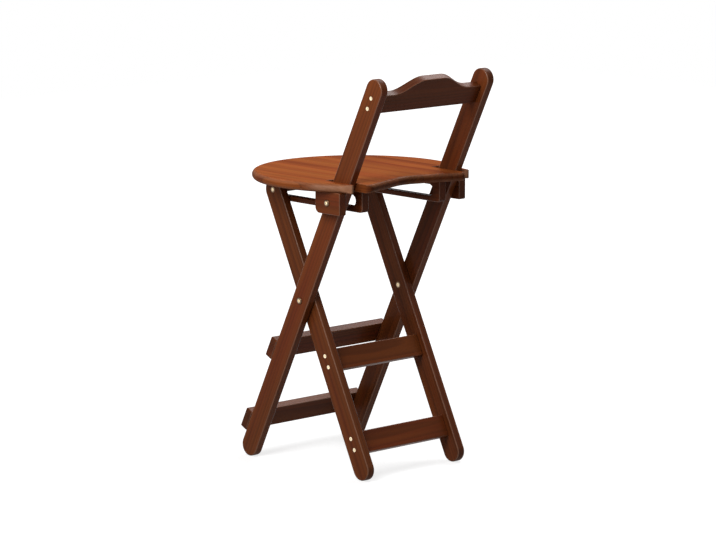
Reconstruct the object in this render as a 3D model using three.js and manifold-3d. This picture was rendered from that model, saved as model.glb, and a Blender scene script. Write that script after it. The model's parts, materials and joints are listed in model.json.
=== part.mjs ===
// Folding bar stool in stained wood, in millimetres: +Z is up, +Y points to the sitter's back.
// Two outer legs run from the front feet up through the seat and carry the back rail. Two inner
// legs cross them at the pivot bolts and end under the front of the seat, on a round cross rod
// that slides in the slotted battens while the stool folds. Left is +X, the sitter's left.
import * as THREE from 'three';
import { mergeVertices } from 'three/addons/utils/BufferGeometryUtils.js';
import Module from 'manifold-3d';

// Whole stool
const overallHeight = 900;
const frameWidth = 340;
const pivotHeight = 384;
const pivotToSeat = 262;
const legTiltDegrees = 26.2;

// Board stock that every leg, rung, batten and cleat is cut from
const boardWidth = 50;
const boardThickness = 20;
const boardEdge = 3;
const bladeEdge = 2;
const cornerOverEdge = 1;
const edgeLimitShare = 0.45;

// Clearances
const runningGap = 1.4;
const seam = 0.3;
const fit = 0.3;
const overrun = 5;

// Seat
const seatRadius = 238;
const seatThickness = 20;
const seatEdge = 7;
const seatCentreBehindPivot = 6;
const seatFlankDegrees = 27.5;
const seatCornerRadius = 30;
const gripBehindSeatCentre = 154;
const gripRadius = 90;
const gripSlopeDegrees = 18;

// Notches that let the outer legs through the seat
const notchSide = 1.5;
const notchFront = 1.5;
const notchMouthRadius = 12;
const hornReach = 65;

// Slotted battens and outer cleats under the seat
const slotHeight = 26;
const slotOverrun = 21;
const battenEnd = 22;
const battenCorner = 9;
const cleatLength = 80;
const cleatCorner = 13;
const cleatScrewSpread = 56;

// Rungs, measured down the legs from the pivot bolts to the middle of each rung
const frontRungDrops = { upper: 153.4, lower: 351 };
const rearRungDrops = { upper: 145.2, lower: 340 };

// Back rail, its lower edge measured down from the middle of the legs' round tops
const backRailDrop = 54.7;
const backRailEndHeight = 44.5;
const backRailCrestHeight = 75.5;
const crestFlatHalf = 26;
const crestFootHalf = 112;

// Cross rod
const rodRadius = 8;

// Wood screws with flush heads
const screw = { length: 45, radius: 2.1, headRadius: 4.5, rim: 0.6, cone: 2.4, point: 6 };
const screwSpacing = 26;
const screwSink = 20;
const screwSinkRadius = 5.6;

// Rod screws, the flush screws that hold the cross rod between the inner legs
const rodScrew = { length: 50, radius: 3, headRadius: 7, rim: 0.8, cone: 4, point: 5 };
const rodSocketDepth = 1.6;
const rodSocketRadius = 2.9;

// Pivot bolts and their sleeve nuts
const bolt = { radius: 4, headRadius: 7.5, headRim: 1.2, headHeight: 3.2, domeShare: 0.62 };
const socketRadius = 3.2;
const socketDepth = 2;
const sleeve = { radius: 5.6, length: 14, flangeRadius: 7.5, flange: 2.2, floor: 3 };
const washerRadius = 11;

// How finely round things are cut
const endSteps = 6;
const arcSteps = 6;
const cornerSteps = 2;
const edgeSteps = 2;
const seatEdgeSteps = 4;
const rimSteps = 44;
const crestSteps = 9;
const screwSides = 8;
const boltSides = 14;
const rodSides = 18;
const socketSides = 6;

// Places worked out from the sizes above
const tilt = THREE.MathUtils.degToRad(legTiltDegrees);
const legRadius = boardWidth / 2;
const boardCorner = bladeEdge + cornerOverEdge;
const footDrop = (pivotHeight - legRadius) / Math.cos(tilt);
const postRise = (overallHeight - legRadius - pivotHeight) / Math.cos(tilt);
const backRailRise = postRise - backRailDrop;
const boltY = pivotToSeat * Math.sin(tilt);
const boltZ = pivotHeight + pivotToSeat * Math.cos(tilt);
const seatUnderside = legRadius + seam;
const gripY = seatCentreBehindPivot + gripBehindSeatCentre;
const gripSlope = THREE.MathUtils.degToRad(gripSlopeDegrees);
const outerLegX = frameWidth / 2 - boardThickness;
const innerLegX = outerLegX - runningGap - boardThickness;
const battenX = innerLegX - runningGap - boardThickness;
const cleatX = frameWidth / 2 + runningGap;
const postTopY = postRise * Math.sin(tilt);
const middleY = (postTopY + legRadius + seatCentreBehindPivot - seatRadius) / 2;
const slotRadius = slotHeight / 2;
const shankLength = 2 * boardThickness + runningGap - sleeve.floor - seam;
const slotFront = -boltY - rodRadius - fit;
const slotRear = boltY + slotOverrun;
const turn = Math.PI * 2;
const quarter = turn / 4;
const sides = [{ name: 'left', sign: 1 }, { name: 'right', sign: -1 }];

const wasm = await Module();
wasm.setup();

// Finishes: stained and lacquered wood, and pale brass plate
const lacquer = { roughness: 0.42, metalness: 0 };
const plated = { roughness: 0.3, metalness: 0.9 };
const stain = (name, color) => new THREE.MeshStandardMaterial({ name, color, ...lacquer });
const metal = (name, color) => new THREE.MeshStandardMaterial({ name, color, ...plated });

const point = (x, y) => new THREE.Vector2(x, y);
const place = (x, y, z) => new THREE.Vector3(x, y, z);

// Points of a circular arc
function arc(centre, radius, from, to, steps) {
  const at = (i) => from + ((to - from) * i) / steps;
  return Array.from({ length: steps + 1 }, (_, i) => point(
    centre.x + radius * Math.cos(at(i)), centre.y + radius * Math.sin(at(i))));
}

// Points of the arc that rounds a corner between two straight edges
function rounded(before, corner, after, radius) {
  const back = before.clone().sub(corner).normalize();
  const ahead = after.clone().sub(corner).normalize();
  const half = Math.acos(back.dot(ahead)) / 2;
  const centre = back.clone().add(ahead).normalize().multiplyScalar(radius / Math.sin(half)).add(corner);
  const start = back.clone().multiplyScalar(radius / Math.tan(half)).add(corner).sub(centre);
  const end = ahead.clone().multiplyScalar(radius / Math.tan(half)).add(corner).sub(centre);
  const sweep = Math.atan2(start.cross(end), start.dot(end));
  const steps = radius > boardCorner ? arcSteps : cornerSteps;
  return arc(centre, radius, start.angle(), start.angle() + sweep, steps);
}

// Closed outline from corners given as [point, radius]
function cornered(corners) {
  return corners.flatMap(([corner, radius], i) => {
    const before = corners[(i + corners.length - 1) % corners.length][0];
    const after = corners[(i + 1) % corners.length][0];
    return radius > 0 ? rounded(before, corner, after, radius) : [corner];
  });
}

// Plate of the given outline with its edges rounded, from 0 to its thickness along +Z
function plate(outline, thickness, edge, segments, holes = []) {
  const shape = new THREE.Shape(outline);
  shape.holes = holes.map((hole) => new THREE.Path(hole));
  const round = Math.min(edge, thickness * edgeLimitShare);
  const geometry = new THREE.ExtrudeGeometry(shape, {
    depth: thickness - 2 * round,
    bevelThickness: round,
    bevelSize: round,
    bevelOffset: -round,
    bevelSegments: segments,
  });
  return geometry.translate(0, 0, round);
}

// Plate with square edges that cuts through another, from its own low face to its high one
function slab(outline, low, high) {
  const shape = new THREE.Shape(outline);
  const geometry = new THREE.ExtrudeGeometry(shape, { depth: high - low, bevelEnabled: false });
  return geometry.translate(0, 0, low);
}

// A plate drawn in (Y, Z) and standing across X, and one drawn in (X, Z) and standing across Y
const acrossX = new THREE.Matrix4().makeBasis(place(0, 1, 0), place(0, 0, 1), place(1, 0, 0));
const acrossY = new THREE.Matrix4().makeBasis(place(1, 0, 0), place(0, 0, 1), place(0, -1, 0));

// Body turned about the line through a point along a direction, from a profile of
// [radius, depth] that runs from its head to its far end
function turned(profile, segments, at, into) {
  const geometry = new THREE.LatheGeometry(profile.map(([r, depth]) => point(r, depth)), segments);
  const spin = new THREE.Quaternion().setFromUnitVectors(place(0, 1, 0), into);
  return geometry.applyQuaternion(spin).translate(at.x, at.y, at.z);
}

// Solid for cutting and joining, from the geometry's positions alone
function solid(geometry) {
  const bare = geometry.clone();
  bare.deleteAttribute('normal');
  bare.deleteAttribute('uv');
  const merged = mergeVertices(bare);
  return new wasm.Manifold(new wasm.Mesh({
    numProp: 3,
    vertProperties: new Float32Array(merged.attributes.position.array),
    triVerts: new Uint32Array(merged.index.array),
  }));
}

// Geometry of a solid
function geometryOf(body) {
  const mesh = body.getMesh();
  const geometry = new THREE.BufferGeometry();
  geometry.setAttribute('position', new THREE.BufferAttribute(mesh.vertProperties, mesh.numProp));
  geometry.setIndex(new THREE.BufferAttribute(mesh.triVerts, 1));
  geometry.computeVertexNormals();
  return geometry;
}

// The first geometry with all the others cut out of it
function cut(geometry, cutters) {
  return geometryOf(cutters.reduce((body, cutter) => body.subtract(solid(cutter)), solid(geometry)));
}

function add(group, name, geometry, material) {
  const mesh = new THREE.Mesh(geometry, material);
  mesh.name = name;
  group.add(mesh);
}

// Flush screw: flat head, short rim, cone, shank and point, grown by the clearance for its hole
function screwProfile(size, clearance = 0) {
  const { length, radius, headRadius, rim, cone, point: tip } = size;
  return [
    [0, -clearance], [headRadius + clearance, -clearance], [headRadius + clearance, rim],
    [radius + clearance, rim + cone + clearance], [radius + clearance, length - tip + clearance],
    [0, length + clearance],
  ];
}

const screwBody = (at, into) => turned(screwProfile(screw), screwSides, at, into);
const screwHole = (at, into) => turned(screwProfile(screw, fit), screwSides, at, into);

// Round bore between two depths below a point
function bore(radius, from, to, at, into, segments = boltSides) {
  return turned([[0, from], [radius, from], [radius, to], [0, to]], segments, at, into);
}

// Domed bolt with a six-sided socket, its head's underside at the given point
function domedBolt(length, at, into) {
  const { radius, headRadius, headRim, headHeight, domeShare } = bolt;
  const shoulder = headRim + (headHeight - headRim) * domeShare;
  const body = turned([
    [0, -headHeight], [socketRadius, -headHeight], [headRadius * domeShare, -shoulder],
    [headRadius, -headRim], [headRadius, 0], [radius, 0], [radius, length], [0, length],
  ], boltSides, at, into);
  const socketFloor = socketDepth - headHeight;
  return cut(body, [bore(socketRadius * domeShare, -overrun, socketFloor, at, into, socketSides)]);
}

// Sleeve nut: a flange with a blind sleeve that the bolt runs into; the sleeve points along into
function sleeveNut(at, into) {
  const { radius, length, flangeRadius, flange, floor } = sleeve;
  const inner = bolt.radius + fit;
  return turned([
    [0, -flange], [flangeRadius, -flange], [flangeRadius, 0], [radius, 0], [radius, length],
    [inner, length], [inner, floor - flange], [0, floor - flange],
  ], boltSides, at, into);
}

// The stepped bore of a sleeve nut whose flange is sunk just under the face at the given point
function nutBores(face, into) {
  return [
    bore(sleeve.flangeRadius + fit, -overrun, sleeve.flange + 2 * seam, face, into),
    bore(sleeve.radius + fit, 0, sleeve.flange + sleeve.length + 2 * seam, face, into),
    bore(bolt.radius + fit, 0, boardThickness + overrun, face, into),
  ];
}

// Flat ring between two pieces that turn against each other
function washer(at, into, thickness) {
  const inner = bolt.radius + fit;
  const outer = washerRadius;
  const ring = [[inner, 0], [outer, 0], [outer, thickness], [inner, thickness], [inner, 0]];
  return turned(ring, boltSides, at, into);
}

// Leg with two round ends, drawn in (Y, Z); each end has a vertex at its lowest or highest point
function legOutline(bottom, top, lean) {
  return [
    ...arc(point(0, top), legRadius, 0, quarter + lean, endSteps),
    ...arc(point(0, top), legRadius, quarter + lean, 2 * quarter, endSteps).slice(1),
    ...arc(point(0, bottom), legRadius, 2 * quarter, 3 * quarter + lean, endSteps),
    ...arc(point(0, bottom), legRadius, 3 * quarter + lean, turn, endSteps).slice(1),
  ];
}

// Where a board's low face goes along X, from its inner face's distance to the middle
const boardStart = (sign, inner) => (sign > 0 ? inner : -inner - boardThickness);

function leg(bottom, top, lean, sign, inner) {
  const board = plate(legOutline(bottom, top, lean), boardThickness, boardEdge, edgeSteps);
  return board.applyMatrix4(acrossX).translate(boardStart(sign, inner), 0, 0);
}

// Board that lies across X, drawn in (X, Z), its back face at the given Y
function crossBoard(half, low, high, backY) {
  const corner = (x, z) => [point(x, z), boardCorner];
  const outline = cornered([corner(-half, low), corner(half, low), corner(half, high), corner(-half, high)]);
  const board = plate(outline, boardThickness, bladeEdge, edgeSteps);
  return board.applyMatrix4(acrossY).translate(0, backY, 0);
}

// Frame of the outer legs: its own Z runs up the legs from the pivot bolts
function outerFrame(wood, brass) {
  const frame = new THREE.Group();
  frame.position.set(0, 0, pivotHeight);
  frame.rotation.x = -tilt;

  const rungFace = -legRadius - seam;
  const rungFront = rungFace - boardThickness;
  const rails = Object.entries(frontRungDrops).map(([name, drop]) => ({ name, z: -drop, screws: [] }));
  const backRailScrews = [];

  for (const { name, sign } of sides) {
    const inward = place(-sign, 0, 0);
    const outerFace = sign * (frameWidth / 2);
    const legCentreX = sign * (outerLegX + boardThickness / 2);
    const holes = [];

    const railCentre = backRailRise + backRailEndHeight / 2;
    for (const [i, step] of [['upper', 1], ['lower', -1]]) {
      const at = place(outerFace, 0, railCentre + (step * screwSpacing) / 2);
      add(frame, `back_rail_screw_${name}_${i}`, screwBody(at, inward), brass);
      backRailScrews.push(screwHole(at, inward));
      holes.push(screwHole(at, inward));

      for (const rung of rails) {
        const spot = place(legCentreX, rungFront, rung.z + (step * screwSpacing) / 2);
        const rearward = place(0, 1, 0);
        add(frame, `front_rung_${rung.name}_screw_${name}_${i}`, screwBody(spot, rearward), brass);
        rung.screws.push(screwHole(spot, rearward));
        holes.push(screwHole(spot, rearward));
      }
    }

    const pivot = place(outerFace, 0, 0);
    holes.push(bore(bolt.radius + fit, -overrun, boardThickness + overrun, pivot, inward));
    const pivotHead = place(outerFace + sign * seam, 0, 0);
    add(frame, `pivot_bolt_${name}`, domedBolt(shankLength, pivotHead, inward), brass);
    const washerAt = place(sign * (outerLegX - seam), 0, 0);
    add(frame, `pivot_washer_${name}`, washer(washerAt, inward, runningGap - 2 * seam), brass);

    const outward = place(sign, 0, 0);
    const nutAt = place(sign * (outerLegX + seam + sleeve.flange), 0, pivotToSeat);
    add(frame, `seat_bolt_nut_${name}`, sleeveNut(nutAt, outward), brass);
    holes.push(...nutBores(place(sign * outerLegX, 0, pivotToSeat), outward));
    const cleatFace = place(sign * (cleatX + boardThickness + seam), 0, pivotToSeat);
    add(frame, `seat_bolt_${name}`, domedBolt(shankLength, cleatFace, inward), brass);

    add(frame, `outer_leg_${name}`, cut(leg(-footDrop, postRise, tilt, sign, outerLegX), holes), wood);
  }

  for (const rung of rails) {
    const board = crossBoard(frameWidth / 2, rung.z - legRadius, rung.z + legRadius, rungFace);
    add(frame, `front_rung_${rung.name}`, cut(board, rung.screws), wood);
  }
  add(frame, 'back_rail', cut(backRail(), backRailScrews), wood);
  return frame;
}

// Back rail between the outer legs, with a straight lower edge and an ogee crest
function backRail() {
  const half = outerLegX - seam;
  const low = backRailRise;
  const end = low + backRailEndHeight;
  const rise = backRailCrestHeight - backRailEndHeight;
  const slope = (side) => Array.from({ length: crestSteps + 1 }, (_, i) => {
    const share = side > 0 ? i / crestSteps : 1 - i / crestSteps;
    const x = crestFootHalf + (crestFlatHalf - crestFootHalf) * share;
    return point(side * x, end + (rise * (1 - Math.cos(Math.PI * share))) / 2);
  });
  const outline = [
    ...rounded(point(-half, end), point(-half, low), point(half, low), boardCorner),
    ...rounded(point(-half, low), point(half, low), point(half, end), boardCorner),
    ...rounded(point(half, low), point(half, end), point(0, end), boardCorner),
    ...slope(1),
    ...slope(-1),
    ...rounded(point(0, end), point(-half, end), point(-half, low), boardCorner),
  ];
  const board = plate(outline, boardThickness, bladeEdge, edgeSteps);
  return board.applyMatrix4(acrossY).translate(0, boardThickness / 2, 0);
}

// Frame of the inner legs: its own Z runs up the legs from the pivot bolts to the cross rod
function innerFrame(wood, brass) {
  const frame = new THREE.Group();
  frame.position.set(0, 0, pivotHeight);
  frame.rotation.x = tilt;

  const rungs = Object.entries(rearRungDrops).map(([name, drop]) => ({ name, z: -drop, screws: [] }));
  const rodHalf = innerLegX - seam;
  const rodCutters = [];

  for (const { name, sign } of sides) {
    const inward = place(-sign, 0, 0);
    const outerFace = sign * (innerLegX + boardThickness);
    const holes = [];

    for (const rung of rungs) {
      for (const [i, step] of [['upper', 1], ['lower', -1]]) {
        const at = place(outerFace, 0, rung.z + (step * screwSpacing) / 2);
        add(frame, `rear_rung_${rung.name}_screw_${name}_${i}`, screwBody(at, inward), brass);
        rung.screws.push(screwHole(at, inward));
        holes.push(screwHole(at, inward));
      }
    }

    const rodAt = place(outerFace, 0, pivotToSeat);
    const rodScrewBody = turned(screwProfile(rodScrew), boltSides, rodAt, inward);
    const socket = bore(rodSocketRadius, -overrun, rodSocketDepth, rodAt, inward, socketSides);
    add(frame, `rod_screw_${name}`, cut(rodScrewBody, [socket]), brass);
    const rodScrewHole = turned(screwProfile(rodScrew, fit), boltSides, rodAt, inward);
    holes.push(rodScrewHole);
    rodCutters.push(rodScrewHole);

    const outward = place(sign, 0, 0);
    const nutAt = place(sign * (innerLegX + seam + sleeve.flange), 0, 0);
    add(frame, `pivot_nut_${name}`, sleeveNut(nutAt, outward), brass);
    holes.push(...nutBores(place(sign * innerLegX, 0, 0), outward));

    add(frame, `inner_leg_${name}`, cut(leg(-footDrop, pivotToSeat, -tilt, sign, innerLegX), holes), wood);
  }

  for (const rung of rungs) {
    const board = crossBoard(rodHalf, rung.z - legRadius, rung.z + legRadius, boardThickness / 2);
    add(frame, `rear_rung_${rung.name}`, cut(board, rung.screws), wood);
  }
  const rodEnd = place(rodHalf, 0, pivotToSeat);
  const rodLength = 2 * rodHalf;
  const rod = turned([
    [0, 0], [rodRadius - bladeEdge / 2, 0], [rodRadius, bladeEdge / 2],
    [rodRadius, rodLength - bladeEdge / 2], [rodRadius - bladeEdge / 2, rodLength], [0, rodLength],
  ], rodSides, rodEnd, place(-1, 0, 0));
  add(frame, 'cross_rod', cut(rod, rodCutters), wood);
  return frame;
}

// Outline of the seat without its notches: round front, straight flanks, hand grip at the back
function seatOutline() {
  const flank = THREE.MathUtils.degToRad(seatFlankDegrees);
  const centre = point(0, seatCentreBehindPivot);
  const grip = point(0, gripY);
  const tangent = point(seatRadius * Math.cos(flank), centre.y + seatRadius * Math.sin(flank));
  // The flank leaves the round edge at the tangent point and meets the sloping back edge here
  const run = (grip.y - tangent.y + tangent.x * Math.tan(gripSlope))
    / (Math.cos(flank) + Math.sin(flank) * Math.tan(gripSlope));
  const corner = point(tangent.x - run * Math.sin(flank), tangent.y + run * Math.cos(flank));
  const other = point(-corner.x, corner.y);
  return [
    ...arc(centre, seatRadius, Math.PI - flank, turn + flank, rimSteps),
    ...rounded(tangent, corner, grip, seatCornerRadius),
    ...rounded(corner, grip, other, gripRadius),
    ...rounded(grip, other, point(-tangent.x, tangent.y), seatCornerRadius),
  ];
}

// Cutter of one notch: it lets the leg in from behind, rounds the lobe on its inner side, which
// runs on into the sloping back edge, and trims the horn on its outer side
function notchCutter(sign) {
  const inner = outerLegX - notchSide;
  const outer = frameWidth / 2 + notchSide;
  const root = boltY - legRadius - notchFront;
  const far = seatCentreBehindPivot + seatRadius + overrun;
  const beyond = seatRadius + overrun;
  const horn = boltY + hornReach;
  const lobeX = inner - notchMouthRadius;
  const lobeY = gripY + lobeX * Math.tan(gripSlope) - notchMouthRadius / Math.cos(gripSlope);
  const lobe = arc(point(lobeX, lobeY), notchMouthRadius, quarter + gripSlope, 0, arcSteps);
  const outline = [
    ...rounded(point(inner, lobeY), point(inner, root), point(outer, root), bladeEdge),
    ...rounded(point(inner, root), point(outer, root), point(outer, horn), bladeEdge),
    point(outer, horn), point(beyond, horn), point(beyond, far),
    point(lobe[0].x, far), ...lobe,
  ].map(({ x, y }) => point(sign * x, y));
  return slab(outline, seatUnderside - overrun, seatUnderside + seatThickness + overrun);
}

// Batten with its long slot, drawn in (Y, Z) about the line of the seat bolts
function batten(sign) {
  const front = slotFront - battenEnd;
  const rear = slotRear + battenEnd;
  const outline = cornered([
    [point(front, -legRadius), battenCorner], [point(rear, -legRadius), battenCorner],
    [point(rear, legRadius), boardCorner], [point(front, legRadius), boardCorner],
  ]);
  const slot = [
    ...arc(point(slotRear - slotRadius, 0), slotRadius, -quarter, quarter, endSteps),
    ...arc(point(slotFront + slotRadius, 0), slotRadius, quarter, 3 * quarter, endSteps),
  ];
  const board = plate(outline, boardThickness, bladeEdge, edgeSteps, [slot]);
  return board.applyMatrix4(acrossX).translate(boardStart(sign, battenX), 0, 0);
}

// Cleat outside the outer leg, with one large round corner at the lower front
function cleat(sign) {
  const front = boltY - cleatLength / 2;
  const rear = boltY + cleatLength / 2;
  const outline = cornered([
    [point(front, -legRadius), cleatCorner], [point(rear, -legRadius), boardCorner],
    [point(rear, legRadius), boardCorner], [point(front, legRadius), boardCorner],
  ]);
  const board = plate(outline, boardThickness, bladeEdge, edgeSteps);
  return board.applyMatrix4(acrossX).translate(boardStart(sign, cleatX), 0, 0);
}

// Seat with its battens and cleats: its own origin is level with the seat bolts
function seatGroup(wood, brass) {
  const group = new THREE.Group();
  group.position.set(0, 0, boltZ);
  const upward = place(0, 0, 1);
  const headZ = screwSink - legRadius;
  const seatHoles = [];

  // A screw in a deep bore from below
  const fixing = (name, x, y, holes) => {
    const at = place(x, y, headZ);
    add(group, name, screwBody(at, upward), brass);
    holes.push(screwHole(at, upward));
    holes.push(bore(screwSinkRadius, -screwSink - overrun, seam, at, upward, screwSides));
    seatHoles.push(screwHole(at, upward));
  };

  for (const { name, sign } of sides) {
    const battenHoles = [];
    const battenMiddle = sign * (battenX + boardThickness / 2);
    fixing(`batten_screw_${name}_front`, battenMiddle, slotFront - battenEnd / 2, battenHoles);
    fixing(`batten_screw_${name}_rear`, battenMiddle, slotRear + battenEnd / 2, battenHoles);
    add(group, `slotted_batten_${name}`, cut(batten(sign), battenHoles), wood);

    const cleatHoles = [];
    const cleatMiddle = sign * (cleatX + boardThickness / 2);
    fixing(`cleat_screw_${name}_front`, cleatMiddle, boltY - cleatScrewSpread / 2, cleatHoles);
    fixing(`cleat_screw_${name}_rear`, cleatMiddle, boltY + cleatScrewSpread / 2, cleatHoles);
    const outward = place(sign, 0, 0);
    const cleatFace = place(sign * cleatX, boltY, 0);
    cleatHoles.push(bore(bolt.radius + fit, -overrun, boardThickness + overrun, cleatFace, outward));
    add(group, `outer_cleat_${name}`, cut(cleat(sign), cleatHoles), wood);

    const washerAt = place(sign * (frameWidth / 2 + seam), boltY, 0);
    add(group, `seat_washer_${name}`, washer(washerAt, outward, runningGap - 2 * seam), brass);
  }

  const board = plate(seatOutline(), seatThickness, seatEdge, seatEdgeSteps);
  const notches = sides.map(({ sign }) => notchCutter(sign));
  add(group, 'seat', cut(board.translate(0, 0, seatUnderside), [...notches, ...seatHoles]), wood);
  return group;
}

const stool = new THREE.Group();
stool.position.set(0, -middleY, 0);
stool.add(outerFrame(stain('frame_wood', 0x5a2c18), metal('fixings', 0xd8b98a)));
stool.add(innerFrame(stain('inner_wood', 0x4f2716), metal('inner_fixings', 0xd8b98a)));
stool.add(seatGroup(stain('seat_wood', 0x8a4a26), metal('seat_fixings', 0xd8b98a)));

export default stool;
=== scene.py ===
"""Folding bar stool in stained and lacquered wood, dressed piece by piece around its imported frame.

Every board is a rounded plate worked out from the box of its frame node, with the bores of its
fixings cut through it. Every fixing is a spun surface. Lengths are in metres.
"""
import json
import math

import bpy
import numpy as np
from bpy.props import FloatProperty, FloatVectorProperty, PointerProperty
from bpy.types import Operator, Panel, PropertyGroup
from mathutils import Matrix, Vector


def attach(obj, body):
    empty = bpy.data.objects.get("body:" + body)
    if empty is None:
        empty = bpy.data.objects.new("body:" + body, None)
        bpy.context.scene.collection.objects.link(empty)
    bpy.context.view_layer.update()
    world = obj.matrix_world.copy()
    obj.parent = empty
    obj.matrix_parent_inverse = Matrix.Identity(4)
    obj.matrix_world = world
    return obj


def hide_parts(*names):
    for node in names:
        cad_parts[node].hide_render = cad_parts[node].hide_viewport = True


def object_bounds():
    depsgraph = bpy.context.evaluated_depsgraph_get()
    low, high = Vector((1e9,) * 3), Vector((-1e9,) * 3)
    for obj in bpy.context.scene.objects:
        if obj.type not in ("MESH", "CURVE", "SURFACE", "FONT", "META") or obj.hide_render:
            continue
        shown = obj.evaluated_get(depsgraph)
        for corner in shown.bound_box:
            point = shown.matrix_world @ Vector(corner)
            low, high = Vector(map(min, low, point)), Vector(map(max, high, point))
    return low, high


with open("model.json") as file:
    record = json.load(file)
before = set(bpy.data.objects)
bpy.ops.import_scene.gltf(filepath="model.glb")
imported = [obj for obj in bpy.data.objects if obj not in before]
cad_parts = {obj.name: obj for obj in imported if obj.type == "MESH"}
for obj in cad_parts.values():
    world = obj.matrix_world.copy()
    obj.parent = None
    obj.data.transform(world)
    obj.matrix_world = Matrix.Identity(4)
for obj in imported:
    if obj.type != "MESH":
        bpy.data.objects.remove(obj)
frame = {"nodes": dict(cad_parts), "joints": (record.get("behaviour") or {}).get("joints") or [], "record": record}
frame_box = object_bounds()

bl_info = {
    "name": "Folding Bar Stool",
    "version": (1, 0, 0),
    "blender": (4, 5, 0),
    "location": "View3D > Sidebar > Stool",
    "description": "Dresses the frame of a folding bar stool in stained wood and plated fixings",
    "category": "Add Mesh",
}

QUARTER = math.pi / 2
SIDES = {"left": 1, "right": -1}
LEVELS = ("upper", "lower")
ENDS = ("front", "rear")

# The three axes of a place: across the stool, across a leaning board, and up that board
X, ACROSS, UP = 0, 1, 2

# The rows of wood screws: the axis they run along and the ends of each row
SCREW_ROWS = {
    "back_rail": (X, LEVELS), "front_rung_upper": (ACROSS, LEVELS),
    "rear_rung_upper": (X, LEVELS), "front_rung_lower": (ACROSS, LEVELS),
    "rear_rung_lower": (X, LEVELS), "batten": (UP, ENDS), "cleat": (UP, ENDS),
}
# The body of each node
BODIES = {
    node: body for body, nodes in frame["record"]["behaviour"]["bodies"].items() for node in nodes
}
# The material of each slot
FINISHES = {
    "frame_wood": "stained frame", "seat_wood": "stained seat", "fixings": "brass plating",
}

# Steps round the rod and most fixings, a wood screw, its hole, and the other holes
AROUND, SCREW_AROUND, SCREW_HOLE_AROUND, HOLE_AROUND = 48, 40, 28, 32
# Share of half a board's width that rounds its end and still leaves a straight side
ALMOST_ROUND = 0.9999
# Angles in degrees past which an edge stays sharp
BOARD_SHARP, FIXING_SHARP = 34, 40
# Error that a calculation leaves in a point, and the gap between the feet and the floor
ROUND_OFF, FLOOR_GAP = 0.000001, 0.0002


def number(name, value, description, **limits):
    """A setting that is a plain number."""
    return FloatProperty(name=name, description=description, default=value, **limits)


def length(name, value, description):
    """A setting that is a length."""
    return number(name, value, description, min=0, unit="LENGTH")


def angle(name, degrees, description):
    """A setting that is an angle."""
    return number(name, math.radians(degrees), description, subtype="ANGLE")


def share(name, value, description):
    """A setting from 0 to 1."""
    return number(name, value, description, min=0, max=1)


def colour(name, value, description):
    """A setting that is a colour, in linear values."""
    return FloatVectorProperty(
        name=name, description=description, default=value, size=3, min=0, max=1, subtype="COLOR"
    )


class BoardSettings(PropertyGroup):
    """Sizes of the legs, rungs, rail, battens, cleats and rod that the frame's boxes don't give."""

    leg_edge: length("Leg edge", 0.003, "Radius of the rounded edges of the legs")
    board_edge: length("Board edge", 0.002, "Radius of the rounded edges of the other boards")
    board_corner: length("Board corner", 0.003, "Radius of the corners of a board")
    batten_corner: length("Batten corner", 0.009, "Radius of the lower corners of a batten")
    cleat_corner: length("Cleat corner", 0.013, "Radius of the lower front corner of a cleat")
    slot_height: length("Slot height", 0.026, "Height of the slot in a batten")
    slot_end: length("Slot end", 0.022, "Wood left at each end of a slot")
    crest_flat: length("Crest flat", 0.026, "Half the length of the back rail's flat crest")
    crest_foot: length("Crest foot", 0.112, "From the middle to where the crest starts to rise")
    rail_end: length("Rail end", 0.0445, "Height of the back rail at its ends")


class SeatSettings(PropertyGroup):
    """Sizes of the seat board that its box doesn't give."""

    edge: length("Seat edge", 0.0095, "Radius of the rounding round the seat")
    notch_edge: length("Notch edge", 0.0024, "Radius of the rounding in the notches")
    flank: angle("Flank", 27.5, "Angle of the straight flanks to the way the sitter faces")
    grip_depth: length("Grip depth", 0.154, "From the round edge's centre to the grip's corner")
    grip_radius: length("Grip radius", 0.09, "Radius of the hollow in the rear edge")
    grip_slope: angle("Grip slope", 18, "Slope of the rear edge towards the grip")
    notch_side: length("Notch side gap", 0.0015, "Gap between an outer leg and its notch")
    notch_front: length("Notch front gap", 0.0015, "Gap in front of a folded leg in its notch")
    lobe: length("Lobe", 0.012, "Radius of the rear corner inside a notch")
    horn: length("Horn", 0.065, "Reach of the horn outside a notch, behind the seat bolt")
    stave: length("Stave", 0.068, "Width of the staves that the seat is glued up from")


class FixingSettings(PropertyGroup):
    """Sizes of the screws, bolts, nuts and washers."""

    fit: length("Fit", 0.0003, "Clearance round a fixing in its hole")
    screw_radius: length("Screw radius", 0.0021, "Radius of a wood screw's shank")
    screw_head: length("Screw head", 0.0045, "Radius of a wood screw's head")
    screw_cone: length("Screw cone", 0.0024, "Height of the cone under a wood screw's head")
    screw_point: length("Screw point", 0.006, "Length of a wood screw's point")
    screw_rim: length("Screw rim", 0.0006, "Height of the rim of a wood screw's head")
    thread_pitch: length("Thread pitch", 0.002, "Distance between turns of a wood screw's thread")
    rod_screw_radius: length("Rod screw radius", 0.003, "Radius of a rod screw's shank")
    rod_screw_head: length("Rod screw head", 0.007, "Radius of a rod screw's head")
    rod_screw_cone: length("Rod screw cone", 0.004, "Height of the cone under its head")
    bolt_radius: length("Bolt radius", 0.004, "Radius of the pivot bolts and seat bolts")
    bolt_head: length("Bolt head", 0.0075, "Radius of their heads")
    head_height: length("Head height", 0.0032, "Height of their heads")
    socket: length("Socket", 0.002, "Half the width of the six-sided socket")
    socket_depth: length("Socket depth", 0.002, "Depth of the six-sided socket")
    sleeve: length("Sleeve", 0.0056, "Radius of a nut's sleeve")
    sleeve_floor: length("Sleeve floor", 0.003, "Thickness of the closed end of a sleeve")
    flange: length("Flange", 0.0022, "Thickness of a nut's flange")
    deep_bore: length("Deep bore", 0.0056, "Radius of the bores that sink the seat's screws")


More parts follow.
